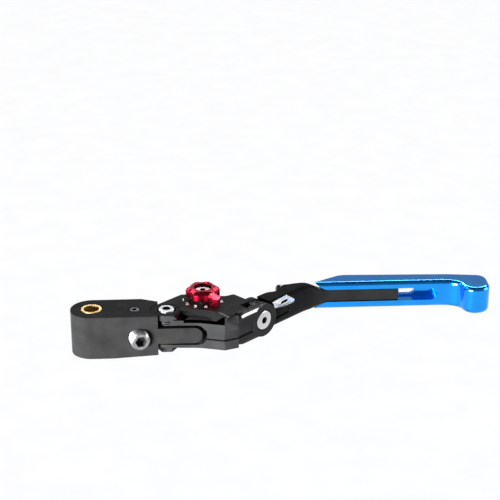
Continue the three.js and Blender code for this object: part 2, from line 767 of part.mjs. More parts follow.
function tipLockScrew() {
  const { shank, front, head, headFront, back, socket, socketDepth } = LOCK_SCREW;
  return cylinder(LOCK_X, 0, shank, -headFront - OVER, -front, ELEVATION)
    .add(cylinder(LOCK_X, 0, head, -back, -headFront, ELEVATION))
    .subtract(prism(hexagon(LOCK_X, 0, socket), -FAR, -back + socketDepth, ELEVATION));
}

function tipLockWasher() {
  const front = TIP.webBack + GAP;
  const back = front + LOCK_SCREW.washerThick;
  return tube(LOCK_X, 0, LOCK_SCREW.washer, LOCK_SCREW.shank + GAP, -back, -front, ELEVATION);
}

add('lever_tip', leverTip(), 'blue');
add('tip_lock_screw', tipLockScrew(), 'steel');
add('tip_lock_washer', tipLockWasher(), 'steel');

export default lever;
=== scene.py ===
"""Clutch lever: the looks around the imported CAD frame. Lengths are millimetres until a mesh is made."""

import json
import math
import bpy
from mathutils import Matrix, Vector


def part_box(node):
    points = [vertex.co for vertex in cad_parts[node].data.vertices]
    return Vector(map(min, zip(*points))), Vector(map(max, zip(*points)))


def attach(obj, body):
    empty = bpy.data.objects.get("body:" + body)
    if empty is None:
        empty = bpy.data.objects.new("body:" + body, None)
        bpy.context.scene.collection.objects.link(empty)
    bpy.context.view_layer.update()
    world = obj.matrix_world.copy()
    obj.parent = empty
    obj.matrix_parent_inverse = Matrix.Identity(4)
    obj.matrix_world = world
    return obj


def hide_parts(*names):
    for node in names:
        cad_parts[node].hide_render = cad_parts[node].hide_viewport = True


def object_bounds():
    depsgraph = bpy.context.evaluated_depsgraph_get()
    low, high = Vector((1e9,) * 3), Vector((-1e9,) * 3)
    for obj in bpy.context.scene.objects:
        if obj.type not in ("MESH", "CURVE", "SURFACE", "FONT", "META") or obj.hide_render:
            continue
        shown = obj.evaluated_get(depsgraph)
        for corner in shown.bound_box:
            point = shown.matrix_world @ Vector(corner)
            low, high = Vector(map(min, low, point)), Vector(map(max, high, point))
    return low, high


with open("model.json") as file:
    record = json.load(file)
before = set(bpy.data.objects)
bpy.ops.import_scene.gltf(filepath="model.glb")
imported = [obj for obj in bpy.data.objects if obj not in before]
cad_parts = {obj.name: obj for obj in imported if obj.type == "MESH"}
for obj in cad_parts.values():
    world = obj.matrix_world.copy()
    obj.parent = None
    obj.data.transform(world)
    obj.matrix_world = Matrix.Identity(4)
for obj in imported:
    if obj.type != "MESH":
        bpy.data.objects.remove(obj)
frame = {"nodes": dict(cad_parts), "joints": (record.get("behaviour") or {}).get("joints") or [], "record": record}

from types import SimpleNamespace as Sizes

import bmesh
import bpy
from mathutils import Matrix, Vector

cad_low, cad_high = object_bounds()

MM = 0.001
joints = {joint["name"]: joint for joint in frame["joints"]}


def joint_place(name):
    return [value / MM for value in joints[name]["pos_m"]]


def low_high(node):
    """A CAD node's lowest and highest corners in millimetres."""
    low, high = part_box(node)
    return low / MM, high / MM


# ---- places and sizes --------------------------------------------------------------------

ARM_PIVOT = joint_place("reach_adjust")
KNOB = joint_place("selector_turn")
BOLT = joint_place("fold")
FOLD_AXIS = Vector(joints["fold"]["axis"]).normalized()
STUD_AXIS = Vector(joints["adjuster_travel"]["axis"]).normalized()
UP = Vector((0, 0, 1))

GAP = 0.3  # clearance between pieces that meet
OVER = 1  # how far a cutting tool reaches past what it cuts
FAR = 60  # a reach past every edge of one piece

STUD = Sizes(
    mouth=(24.8, -11.2, -2.8),  # where its axis leaves the base's front
    proud=4.6,
    radius=5.3,
    length=28.8,
    pitch=1.4,
    thread=0.7,
    socket=3.2,
)

# arm: depths run back from the hinge's face, and lengths run along the arm from the bolt
ARM_HALF = 9.2  # half its height, and the radius of its cheeks' round ends
ARM_FRONT = [(39.1, -10.3), (56.5, -11.4), (69.7, -15.1)]  # its front edge in plan
FRONT_CHEEK = 3.8  # depth of its front cheek
ARM_BACK = 12.4  # depth of its rear cheek's back
FACE_START = -19.6  # where the hinge's face starts
HEAD_BORE = Sizes(radius=5.8, depth=1.9)
SHANK_BORE = 3.8
# what is cut from the hinge's upper edge, and then from the pocket's front edge, as (depth, height)
HINGE_SLOPES = [(-5, 4.8), (0, 4.8), (0.3, 5.9), (0.85, 7.1), (2.4, ARM_HALF), (2.4, 12), (-5, 12)]
LIP = [(-5, 5.3), (0, 5.3), (1.5, 6.65), (1.5, 20), (-5, 20)]
SLOPES_START = -30
LIP_START = 9.2  # past the first corner of the arm's front edge
HINGE_FACET_TILT = 20  # how far the hinge's light grey facet leans back, in degrees
WELL_GROOVE = Sizes(inner=6.35, outer=6.95, depth=0.45)
POCKET = Sizes(
    mouth=[(35.8, -25), (77.2, -25), (64, -6.4), (60, -4.6), (54.5, -3), (46.5, -3.4)],  # in plan
    floor=6.6,
    wall=0.5,  # how far its walls reach out past its mouth
    run=2.6,  # how far their slopes run in
    ledge=0.1,  # left flat at the mouth
)
POCKET_ROOM = Sizes(left=42, right=71, back=-3)  # where the pocket's own slopes are
# ramp round the arm's pivot: radii, the brow's with its height, and the ramp's ends in degrees
RAMP = Sizes(foot=12.1, brow=(7.6, 8.1), top=7.4, inner=6.1, start=-88, end=-5)
BAND = Sizes(start=(57.5, -11.67), end=-8.4, depth=0.7, low=-3.0, high=1.6)
BAND_GROOVE = Sizes(depth=1.8, low=-4.1, high=-2.8)  # along the band's lower edge

PIVOT_SCREW = Sizes(head=4.35, shank=3.0, end=-14.2, seat=7.7, top=10.0, socket=2.4, floor=8.4)
FOLD_BOLT = Sizes(head=5.5, shank=3.5, end=-12.3, seat=-1.6, top=0.0, socket=2.1, floor=-3.5)
DIAL_SCREW = Sizes(head=4.3, shank=1.6, end=5.3, seat=12.9, top=14.5, socket=1.7, floor=13.4)

DIAL = Sizes(
    low=10.4,
    top=low_high("selector_knob")[1].z + 0.9,
    radius=9.2,
    dip=1.0,  # how far its rim falls in between two lobes
    lobes=6,
    heading=-57,  # where its pointer aims, in degrees from X
    bore=4.7,
    bore_floor=12.8,
    shaft=3.3,
)
POINTER = Sizes(low=9.7, high=16, heel=5, heel_half=3.1, shoulder=12.9, shoulder_half=2.4, nose=14.5)
DIGITS = Sizes(count=6, start=187, step=30, radius=10.6, height=4.0, thick=0.04, lift=0.03)

# blade: its lugs lie between the arm's cheeks, and its rail carries the tip
BLADE_HALF = low_high("folding_arm")[1].z
BLADE_FRONT = 29.8
BLADE_START = 2  # along the arm from the bolt
BEND_START = 33.5
FACE_DEPTH = 0.4  # how far its face lies behind the arm's
FLARE = (117, 128)  # where its height falls to the rail's
RAIL_HALF = 3.35
RAIL_BACK = 35.4
RAIL_START = 132
RAIL_END = 167.5
FOLD_ANGLE = 60
LUG_DEPTHS = [(4.1, 6.4), (7.9, 8.9)]
LUG_RADIUS = 8.9
LUG_BRIDGE = Sizes(half=5.5, reach=3)  # joins a lug to the blade, and reaches that far into it
LUG_BORE = 5.3
KEY = Sizes(left=154, right=163, back=37.9, half=2.3, root=0.5)  # keeps the tip straight on the rail
LOCK_HOLE = Sizes(x=157, radius=1.6, front=32.1)
PIN_HOLE = Sizes(x=102.2, y=26, radius=1.3)
PATCH = Sizes(
    outline=[(8.6, -1.6), (21.8, -3.6), (25.6, -2.0), (19.8, 2.6), (7.5, 2.0)],  # on its own plane
    tilt=18,  # how far that plane leans back, in degrees
    depth=1.35,  # of the plane's origin, beside the bolt
    height=5.4,
    reach=3,
)
# outlines on the hinge's face, each with its depth: a slot in the patch, a recess and a line under it
SUNK_MARKS = [
    ([(13.4, 4.3), (19.4, 4.6), (19.4, 5.8), (15.0, 5.6)], 2.5),
    ([(9.3, -2.2), (20.1, -1.5), (19.7, 2.2), (9.3, 3.3)], 0.95),
    ([(9.3, -3.0), (20.6, -2.2), (20.4, 1.0), (19.6, 1.0), (19.7, -1.4), (9.3, -2.1)], 1.9),
]

TIP_LOW, TIP_HIGH = low_high("lever_tip")
TIP_HALF = TIP_HIGH.z
TIP_LEFT = 116.5
TIP_FRONT = 29.5
TIP_FLOOR = 35.7  # back of the rail's slot
WEB_BACK = 38.2  # front of the groove in its back
FRONT_SLOT = Sizes(left=131 - FAR, right=189, half=3.65)
WEB_SLOT = Sizes(left=131, right=177, half=2.6)
BACK_GROOVE = Sizes(left=128, right=180, half=4.4)
TIP_END_CUT = [(90, -30), (123.4, -30), (114.4, 30), (90, 30)]  # its left end leans, seen from the front

FLOOR_DROP = 140  # the lever hangs on its perch, so the floor lies this far under it
FLOOR_HALF = 6  # metres

# camera: where it looks, and from where
AIM = (84.1, 7.6, 38.1)
AZIMUTH = -3.2
ELEVATION = 23.2
DISTANCE = 790
LENS = 108
SENSOR = 36


# ---- mesh helpers ------------------------------------------------------------------------

def link(name, mesh):
    thing = bpy.data.objects.new(name, mesh)
    bpy.context.scene.collection.objects.link(thing)
    return thing


def from_mesh_code(name, bm):
    """A closed piece from mesh code, its faces turned outwards."""
    bmesh.ops.recalc_face_normals(bm, faces=bm.faces)
    mesh = bpy.data.meshes.new(name)
    bm.to_mesh(mesh)
    bm.free()
    return link(name, mesh)


def axes(origin, x, y, z):
    """A frame whose X, Y and Z are those directions."""
    place = Matrix((x, y, z)).transposed().to_4x4()
    place.translation = Vector(origin)
    return place


def upright(centre):
    """A frame at a height of 0 on a vertical axis."""
    return axes((*centre[:2], 0), (1, 0, 0), (0, 1, 0), UP)


ALONG = UP.cross(FOLD_AXIS)  # the arm's direction past the dial
HINGE = axes((*BOLT[:2], 0), ALONG, UP, FOLD_AXIS)  # outlines on the hinge's front face
SECTION = axes((*BOLT[:2], 0), -FOLD_AXIS, UP, ALONG)  # cross-sections of the arm: depth and height
FRONT = axes((0, 0, 0), (1, 0, 0), (0, 0, 1), (0, -1, 0))  # outlines in X and Z, seen from the front


def hinge_plan(u, n):
    """A point in plan, u along the arm from the bolt and n behind its front face."""
    return tuple((Vector((*BOLT[:2], 0)) + ALONG * u - FOLD_AXIS * n).xy)


def leaning(tilt):
    """The way that the hinge's face looks, leant back by that many degrees."""
    return FOLD_AXIS * math.cos(math.radians(tilt)) + UP * math.sin(math.radians(tilt))


def arc(x, y, radius, start, end, steps):
    """Points on a circle's arc, angles in degrees."""
    angles = [math.radians(start + (end - start) * i / steps) for i in range(steps + 1)]
    return [(x + radius * math.cos(a), y + radius * math.sin(a)) for a in angles]


def circle(x, y, radius, sides=64):
    return arc(x, y, radius, 0, 360, sides)[:-1]


def hexagon(x, y, radius):
    return circle(x, y, radius, 6)


def box_outline(left, low, right, high):
    return [(left, low), (right, low), (right, high), (left, high)]


def bar(sizes, steps=24):
    """A straight bar along X with round ends."""
    left, right, half = sizes.left, sizes.right, sizes.half
    return arc(right - half, 0, half, -90, 90, steps) + arc(left + half, 0, half, 90, 270, steps)


def bezier(points, steps):
    """A Bezier curve of three or four control points, without its first point."""
    out = []
    for i in range(1, steps + 1):
        level = [Vector(p) for p in points]
        while len(level) > 1:
            level = [a.lerp(b, i / steps) for a, b in zip(level, level[1:])]
        out.append(tuple(level[0]))
    return out


def inset(points, distance):
    """The outline moved inwards, corners mitred. Points run anticlockwise."""
    longest_mitre = 0.6  # as the least squared length of the two edges' summed normals
    count = len(points)
    moved = []
    for i, point in enumerate(points):
        here = Vector(point)
        before = (here - Vector(points[i - 1])).normalized()
        after = (Vector(points[(i + 1) % count]) - here).normalized()
        middle = Vector((-before.y - after.y, before.x + after.x))
        moved.append(tuple(here + middle * (2 * distance / max(middle.length_squared, longest_mitre))))
    return moved


def loft(name, rings):
    """A closed solid through rings of equally many points, flat at both ends."""
    bm = bmesh.new()
    made = [[bm.verts.new(Vector(point) * MM) for point in ring] for ring in rings]
    bm.faces.new(list(reversed(made[0])))
    bm.faces.new(made[-1])
    for lower, upper in zip(made, made[1:]):
        for i in range(len(lower)):
            j = (i + 1) % len(lower)
            bm.faces.new((lower[i], lower[j], upper[j], upper[i]))
    return from_mesh_code(name, bm)


def stack(name, points, levels, place=Matrix()):
    """A solid through an outline's insets: levels lists (inset, height) from the bottom up."""
    rings = []
    for distance, height in levels:
        ring = inset(points, distance) if distance else points
        rings.append([place @ Vector((x, y, height)) for x, y in ring])
    return loft(name, rings)


def prism(points, low, high, place=Matrix(), name="tool"):
    return stack(name, points, [(0, low), (0, high)], place)


def layer(points, front, back):
    """An outline on the hinge's face, from depth front to depth back behind it."""
    return prism(points, -back, -front, HINGE)


def turned(name, profile, centre, sides=72):
    """A ring about a vertical axis: profile lists (radius, height)."""
    bm = bmesh.new()
    rings = []
    for k in range(sides):
        angle = 2 * math.pi * k / sides
        rings.append([
            bm.verts.new((Vector(centre) + Vector((r * math.cos(angle), r * math.sin(angle), z))) * MM)
            for r, z in profile
        ])
    for here, after in zip(rings, rings[1:] + rings[:1]):
        for i in range(len(profile)):
            j = (i + 1) % len(profile)
            bm.faces.new((here[i], here[j], after[j], after[i]))
    return from_mesh_code(name, bm)


def rounded(low, high, depth, height, steps=7):
    """Levels for a stack whose upper and lower edges are rounded."""
    quarter = [math.pi / 2 * i / steps for i in range(steps + 1)]
    under = [(depth * (1 - math.sin(a)), low + height * (1 - math.cos(a))) for a in quarter]
    over = [(depth * (1 - math.cos(a)), high - height * (1 - math.sin(a))) for a in quarter]
    return under + over


def apply_modifiers(thing):
    depsgraph = bpy.context.evaluated_depsgraph_get()
    mesh = bpy.data.meshes.new_from_object(
        thing.evaluated_get(depsgraph), preserve_all_data_layers=True, depsgraph=depsgraph
    )
    thing.modifiers.clear()
    old = thing.data
    thing.data = mesh
    bpy.data.meshes.remove(old)
    return thing


def combine(thing, tools, operation):
    """Joins the tools to a piece, or cuts them from it, and removes them."""
    for tool in tools:
        modifier = thing.modifiers.new("boolean", "BOOLEAN")
        modifier.operation = operation
        modifier.solver = "EXACT"
        modifier.object = tool
        apply_modifiers(thing)
        bpy.data.objects.remove(tool)
    return thing


def cut(thing, *tools):
    return combine(thing, tools, "DIFFERENCE")


def join(thing, *tools):
    return combine(thing, tools, "UNION")


def clean(mesh, flatness=0.6):
    """Merges a mesh's doubled points, and neighbours that lie flat within that many degrees."""
    bm = bmesh.new()
    bm.from_mesh(mesh)
    bmesh.ops.remove_doubles(bm, verts=bm.verts, dist=0.01 * MM)
    bmesh.ops.dissolve_limit(bm, angle_limit=math.radians(flatness), verts=bm.verts, edges=bm.edges)
    bm.to_mesh(mesh)
    bm.free()


def smooth(thing, angle=38):
    """Smooth shading up to an angle, with large flat faces kept flat."""
    thing.data.shade_smooth()
    thing.data.set_sharp_from_angle(angle=math.radians(angle))
    modifier = thing.modifiers.new("weighted", "WEIGHTED_NORMAL")
    modifier.keep_sharp = True
    return apply_modifiers(thing)


def soften(thing, width, angle=28, flatness=0.6, crease=38):
    """Small rounds on edges sharper than the angle, and smooth shading up to the crease."""
    clean(thing.data, flatness)
    modifier = thing.modifiers.new("bevel", "BEVEL")
    modifier.width = width * MM
    modifier.segments = 2
    modifier.limit_method = "ANGLE"
    modifier.angle_limit = math.radians(angle)
    modifier.use_clamp_overlap = True
    modifier.miter_outer = "MITER_ARC"
    apply_modifiers(thing)
    return smooth(thing, crease)


def refined(node, name):
    """A copy of a CAD node's shape to work on, as one clean closed mesh."""
    mesh = frame["nodes"][node].data.copy()
    clean(mesh)
    mesh.materials.clear()
    return link(name, mesh)


# ---- materials ---------------------------------------------------------------------------

MOTTLE = 120  # scale of the noise in a finish's colour
SMEAR = 260  # scale of the noise in its gloss


def material(name):
    """An empty node material with its Principled shader."""
    made = bpy.data.materials.new(name)
    made.use_nodes = True
    nodes = made.node_tree.nodes
    return made, nodes, made.node_tree.links, nodes["Principled BSDF"]


def noise(nodes, links, scale, detail=4, stretch=(1, 1, 1)):
    """Noise in the object's own coordinates, stretched along an axis for grain."""
    where = nodes.new("ShaderNodeTexCoord")
    mapping = nodes.new("ShaderNodeMapping")
    mapping.inputs["Scale"].default_value = stretch
    texture = nodes.new("ShaderNodeTexNoise")
    texture.inputs["Scale"].default_value = scale
    texture.inputs["Detail"].default_value = detail
    links.new(where.outputs["Object"], mapping.inputs["Vector"])
    links.new(mapping.outputs["Vector"], texture.inputs["Vector"])
    return texture.outputs["Fac"]


def map_range(nodes, links, value, spans):
    """Maps a value from one range to another: spans holds both ends of each."""
    remap = nodes.new("ShaderNodeMapRange")
    for socket, number in zip(("From Min", "From Max", "To Min", "To Max"), spans):
        remap.inputs[socket].default_value = number
    links.new(value, remap.inputs["Value"])
    return remap.outputs["Result"]


def ramp(nodes, links, value, low, high):
    """Maps a noise's middle range to a range of numbers."""
    return map_range(nodes, links, value, (0.3, 0.7, low, high))


def tint(nodes, links, value, dark, light):
    mix = nodes.new("ShaderNodeMix")
    mix.data_type = "RGBA"
    mix.inputs["A"].default_value = (*dark, 1)
    mix.inputs["B"].default_value = (*light, 1)
    links.new(ramp(nodes, links, value, 0, 1), mix.inputs["Factor"])
    return mix.outputs["Result"]


def bump(nodes, links, value, shader, strength, depth=0.02):
    relief = nodes.new("ShaderNodeBump")
    relief.inputs["Strength"].default_value = strength
    relief.inputs["Distance"].default_value = depth * MM
    links.new(value, relief.inputs["Height"])
    links.new(relief.outputs["Normal"], shader.inputs["Normal"])


def metal_finish(
    name, dark, light, roughness, grain, stretch=(1, 1, 1), metallic=1.0, relief=0.15, coat=0.0, shine=0.5
):
    """Machined metal: a faint mottle in its colour, a fine blasted or brushed grain, uneven gloss."""
    made, nodes, links, shader = material(name)
    shader.inputs["Metallic"].default_value = metallic
    shader.inputs["Specular IOR Level"].default_value = shine
    shader.inputs["Coat Weight"].default_value = coat
    shader.inputs["Coat Roughness"].default_value = 0.08
    links.new(tint(nodes, links, noise(nodes, links, MOTTLE), dark, light), shader.inputs["Base Color"])
    gloss = noise(nodes, links, SMEAR, 6, stretch)
    links.new(ramp(nodes, links, gloss, *roughness), shader.inputs["Roughness"])
    bump(nodes, links, noise(nodes, links, grain, 3, stretch), shader, relief)
    return made


# black finishes: their colour sets how light their fronts look, and shine does so for their tops
SATIN_BLACK = metal_finish(
    "satin_black", (0.013, 0.0132, 0.0136), (0.018, 0.0182, 0.0187), (0.18, 0.24), 4200,
    metallic=0.0, relief=0.03, shine=0.05,
)
BRUSHED_BLACK = metal_finish(
    "brushed_black", (0.009, 0.009, 0.0092), (0.014, 0.014, 0.0143), (0.22, 0.3), 1500, (0.35, 1, 3),
    metallic=0.0, relief=0.2, shine=0.03,
)
# the blade's darker black, also used as painted shade on the arm's pocket slopes
BLADE_BLACK_AND_POCKET_SHADE = metal_finish(
    "blade_black_and_pocket_shade", (0.005, 0.0052, 0.0055), (0.008, 0.0082, 0.0085), (0.16, 0.22), 4200,
    metallic=0.0, relief=0.03, shine=0.03,
)
# steels, bronze and the light grey metal of the facets
BRIGHT_STEEL = metal_finish(
    "bright_steel", (0.32, 0.325, 0.335), (0.46, 0.465, 0.475), (0.26, 0.38), 3000, relief=0.02
)
BOLT_STEEL = metal_finish(
    "bolt_steel", (0.56, 0.56, 0.57), (0.66, 0.66, 0.67), (0.14, 0.2), 3000, relief=0.015
)
STUD_STEEL = metal_finish(
    "stud_steel", (0.26, 0.265, 0.27), (0.42, 0.425, 0.43), (0.24, 0.36), 3000, relief=0.05
)
DARK_STEEL = metal_finish(
    "dark_steel", (0.06, 0.06, 0.065), (0.12, 0.12, 0.13), (0.3, 0.45), 3500, metallic=0.9, relief=0.05
)
# a very dark steel for the springs and the pivot nut: partly their own dark steel, partly painted shade of the
# gaps and the underside where they sit
DARKER_STEEL_AND_SHADE = metal_finish(
    "spring_steel", (0.02, 0.02, 0.022), (0.035, 0.035, 0.037), (0.55, 0.65), 3500, metallic=0.9, relief=0.05
)
# painted shade: a dark steel for the walls inside hexagon sockets
SOCKET_PAINTED_SHADE = metal_finish(
    "socket_painted_shade", (0.03, 0.03, 0.032), (0.06, 0.06, 0.063), (0.35, 0.5), 3000, metallic=0.6, relief=0.05
)
# a light grey metal for the facets chosen by the way they face, so that they look white
LIGHT_FACET_METAL = metal_finish(
    "light_facet_metal", (0.13, 0.13, 0.132), (0.19, 0.19, 0.193), (0.2, 0.28), 2500, (0.3, 1, 1), relief=0.01
)
BRONZE = metal_finish("bronze", (0.36, 0.23, 0.09), (0.56, 0.40, 0.18), (0.34, 0.5), 2600, metallic=0.95)
# colours
CRIMSON = metal_finish(
    "crimson_anodised", (0.28, 0.004, 0.016), (0.36, 0.009, 0.03), (0.2, 0.3), 3200, relief=0.03
)
BLUE = metal_finish(
    "blue_anodised", (0.003, 0.29, 0.88), (0.004, 0.33, 0.96), (0.14, 0.16), 2000, (0.06, 1, 1),
    relief=0.003, coat=0.45,
)
MARK_WHITE = metal_finish(
    "mark_white", (0.75, 0.75, 0.75), (0.88, 0.88, 0.88), (0.4, 0.55), 3000, metallic=0.0, relief=0.02
)

MATERIALS = {
    "satin_black": SATIN_BLACK,
    "bright_steel": BRIGHT_STEEL,
    "dark_steel": DARK_STEEL,
    "bronze": BRONZE,
    "crimson_anodised": CRIMSON,
    "blue_anodised": BLUE,
}


def finish_piece(thing, body, slot_name, *nodes, paint=None):
    """Gives a piece its material, its body and the CAD nodes that it stands for."""
    thing.data.materials.clear()
    thing.data.materials.append(paint or MATERIALS[slot_name])
    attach(thing, body)
    if nodes:
        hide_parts(*nodes)


def repaint(thing, paint, chosen):
    """Gives another finish to the faces whose normal and centre, in millimetres, are chosen."""
    thing.data.materials.append(paint)
    slot = len(thing.data.materials) - 1
    for face in thing.data.polygons:
        if chosen(face.normal, face.center / MM):
            face.material_index = slot


def paint_socket_shade(thing, mouth, axis, radius):
    """Paints shade into a socket's faces, those behind its mouth and near its axis, with a dark finish."""
    rim, slack = 0.15, 0.05

    def in_socket(normal, centre):
        away = centre - Vector(mouth)
        height = away.dot(axis)
        return height < -rim and (away - axis * height).length < radius + slack

    repaint(thing, SOCKET_PAINTED_SHADE, in_socket)


def light_facets(thing, tilt, spread):
    """Gives a light grey metal finish to the upper facets that look the hinge's way and lean back by the tilt."""
    lowest = 4
    facing = leaning(tilt)
    limit = math.cos(math.radians(spread))
    repaint(thing, LIGHT_FACET_METAL, lambda normal, centre: normal.dot(facing) > limit and centre.z > lowest)


# ---- base and adjuster -------------------------------------------------------------------

def base_pieces():
    block = soften(refined("lever_base", "base_block"), 0.45)
    finish_piece(block, "base", "satin_black", "lever_base", paint=BRUSHED_BLACK)
    sleeve = soften(refined("pivot_bush", "pivot_sleeve"), 0.2)
    finish_piece(sleeve, "perch_pivot", "bronze", "pivot_bush")
    grub = soften(refined("adjuster_lock_screw", "base_grub"), 0.15)
    finish_piece(grub, "base", "dark_steel", "adjuster_lock_screw")


def threaded_rod(name, radius, length, pitch, depth, place, sides=48, rows=8):
    """A rod along Z from 0 down to -length, with a helical thread and chamfered ends."""
    count = round(length / pitch * rows)
    rings = []
    for i in range(count + 1):
        z = -length * i / count
        taper = min(1.0, min(-z, length + z) / pitch)
        ring = []
        for k in range(sides):
            phase = (z / pitch + k / sides) % 1
            crest = 1 - abs(2 * phase - 1)
            r = radius - depth * (1 - crest) - depth * (1 - taper)
            angle = 2 * math.pi * k / sides
            ring.append(place @ Vector((r * math.cos(angle), r * math.sin(angle), z)))
        rings.append(ring)
    return loft(name, list(reversed(rings)))


def adjuster():
    """The stud's front end stands proud of the base, and its rear end just reaches through."""
    start = Vector(STUD.mouth) + STUD_AXIS * STUD.proud
    place = axes(start, UP.cross(STUD_AXIS), UP, STUD_AXIS)
    stud = threaded_rod("adjuster_stud", STUD.radius, STUD.length, STUD.pitch, STUD.thread, place)
    cut(stud, prism(hexagon(0, 0, STUD.socket), -STUD.proud, OVER, place))
    finish_piece(smooth(stud, 30), "adjuster", "bright_steel", "adjuster_screw", paint=STUD_STEEL)
    # painted shade on the walls of the stud's hexagon socket
    paint_socket_shade(stud, start, STUD_AXIS, STUD.socket)


# ---- arm ---------------------------------------------------------------------------------

def arm():
    body = refined("arm_body", "arm_machined")
    # the front cheek's end is a plain round, with its slopes cut straight along it
    disc = layer(circle(0, 0, ARM_HALF, 96), 0, FRONT_CHEEK - 0.02)
    bore = layer(circle(0, 0, HEAD_BORE.radius), -OVER, HEAD_BORE.depth)
    shank = layer(circle(0, 0, SHANK_BORE), -OVER, FAR)
    join(body, disc)
    cut(body, bore, shank)
    join(body, *pocket_ramps())
    cut(body, prism(HINGE_SLOPES, SLOPES_START, ARM_HALF + OVER, SECTION))
    cut(body, *lip_cuts())
    # the ring round the pivot screw's well
    groove = box_outline(WELL_GROOVE.inner, -WELL_GROOVE.depth, WELL_GROOVE.outer, OVER)
    cut(body, turned("tool", groove, (*ARM_PIVOT[:2], ARM_HALF)))
    cut(body, *front_band())
    soften(body, 0.28, crease=14)
    finish_piece(body, "arm", "satin_black", "arm_body")
    light_facets(body, HINGE_FACET_TILT, spread=6)
    # painted shade: the pocket's slopes get the blade's darker black
    repaint(body, BLADE_BLACK_AND_POCKET_SHADE, pocket_shade_faces)


def pocket_shade_faces(normal, centre):
    """Whether a face is one of the pocket's slopes, neither upright nor level, which get painted shade."""
    steepest, flattest = 0.35, 0.9
    inside = POCKET_ROOM.left < centre.x < POCKET_ROOM.right and centre.y < POCKET_ROOM.back
    return inside and steepest < normal.z < flattest


def pocket_ramps():
    """Solids that slope the pocket's walls, and the ramp from the pivot's boss down into it.
    They end a little inside the arm's faces, so that no two faces lie in one plane."""
    low, top, set_back = POCKET.floor - 0.3, ARM_HALF - 0.12, 0.03
    left, right = 20, 100  # past both ends of the pocket
    front = [(left, ARM_FRONT[0][1])] + ARM_FRONT + [hinge_plan(0, 0)]
    front = [(x, y + set_back) for x, y in front]
    ahead = [(left, -FAR), (right, -FAR)] + list(reversed(front))
    walls = prism(inset(POCKET.mouth, -POCKET.wall), low, top, name="walls")
    cut(walls, stack("tool", POCKET.mouth, [(POCKET.run, POCKET.floor - 0.5), (POCKET.ledge, top + 0.2)]))
    rings = []
    for radius, z in ((RAMP.foot, low), (RAMP.foot, POCKET.floor), RAMP.brow, (RAMP.top, top)):
        outline = arc(*ARM_PIVOT[:2], radius, RAMP.start, RAMP.end, 32)
        outline += arc(*ARM_PIVOT[:2], RAMP.inner, RAMP.end, RAMP.start, 32)
        rings.append([(x, y, z) for x, y in outline])
    slope = loft("ramp", rings)
    for part in (walls, slope):
        cut(part, prism(ahead, -FAR, FAR))
    return walls, slope


def lip_cuts():
    """Tools that leave a sloped lip along the pocket's front edge."""
    tools = []
    for start, end, left in ((*ARM_FRONT[:2], LIP_START), (*ARM_FRONT[1:3], 0)):
        span = Vector(end) - Vector(start)
        way = Vector((*span.normalized(), 0))
        place = axes((*start, 0), UP.cross(way), UP, way)
        tools.append(prism(LIP, left, span.length, place))
    return tools


def front_band():
    """Tools for the shallow band along the arm's front, and the groove under it."""
    corners = [BAND.start, ARM_FRONT[2], hinge_plan(FACE_START, 0), hinge_plan(BAND.end, 0)]
    outwards, inwards = Vector((0.4, -1.2)), Vector((-0.18, 1))
    outer = [tuple(Vector(c) + outwards) for c in corners]
    tools = []
    for sizes in (BAND, BAND_GROOVE):
        inner = [tuple(Vector(c) + inwards * sizes.depth) for c in corners]
        tools.append(prism(outer + list(reversed(inner)), sizes.low, sizes.high))
    return tools


def screw(name, sizes, place, body, node, paint=None):
    """A screw along Z with a rounded round head and a hexagon socket whose walls get painted shade."""
    step = sizes.head - sizes.shank
    end, seat, top = sizes.end, sizes.seat, sizes.top
    shank = [(step + 0.5, end), (step, end + 0.5), (step, seat)]
    head = [(0.3, seat), (0, seat + 0.3), (0, top - 0.7), (0.12, top - 0.35), (0.4, top - 0.1), (0.75, top)]
    made = stack(name, circle(0, 0, sizes.head, 72), shank + head, place)
    cut(made, prism(hexagon(0, 0, sizes.socket), sizes.floor, top + OVER, place))
    finish_piece(smooth(made), body, "bright_steel", node, paint=paint)
    # painted shade on the walls of the head's hexagon socket
    paint_socket_shade(made, place @ Vector((0, 0, top)), place.col[2].xyz, sizes.socket)


def arm_hardware():
    screw("pivot_screw", PIVOT_SCREW, upright(ARM_PIVOT), "arm", "arm_pivot_screw")
    nut = soften(refined("arm_pivot_nut", "pivot_nut"), 0.3)
    # the nut gets the very dark steel, partly painted shade under the base
    finish_piece(nut, "arm", "bright_steel", "arm_pivot_nut", paint=DARKER_STEEL_AND_SHADE)
    screw("fold_bolt_machined", FOLD_BOLT, HINGE, "arm", "fold_bolt", BOLT_STEEL)


# ---- dial --------------------------------------------------------------------------------

def dial():
    """Lobed ring with a ridged pointer whose end is a prow."""
    low, top = DIAL.low, DIAL.top
    steps = 120
    rim = []
    for i in range(steps):
        angle = 360 * i / steps
        wave = math.cos(math.radians(DIAL.lobes * (angle - DIAL.heading)))
        radius = DIAL.radius - DIAL.dip * (0.5 - 0.5 * wave) ** 1.5
        rim.append((
            KNOB[0] + radius * math.cos(math.radians(angle)),
            KNOB[1] + radius * math.sin(math.radians(angle)),
        ))
    levels = [(1.2, low), (0, low + 1.0), (0, top - 1.9), (0.5, top - 1.1), (2.1, top)]
    body = stack("dial", rim, levels)
    join(body, dial_pointer())
    cut(body, prism(circle(*KNOB[:2], DIAL.bore), DIAL.bore_floor, FAR))
    cut(body, prism(circle(*KNOB[:2], DIAL.shaft), 0, FAR))
    soften(body, 0.3, angle=20)
    finish_piece(body, "selector", "crimson_anodised", "selector_knob")
    screw("dial_screw", DIAL_SCREW, upright(KNOB), "selector", "selector_screw")


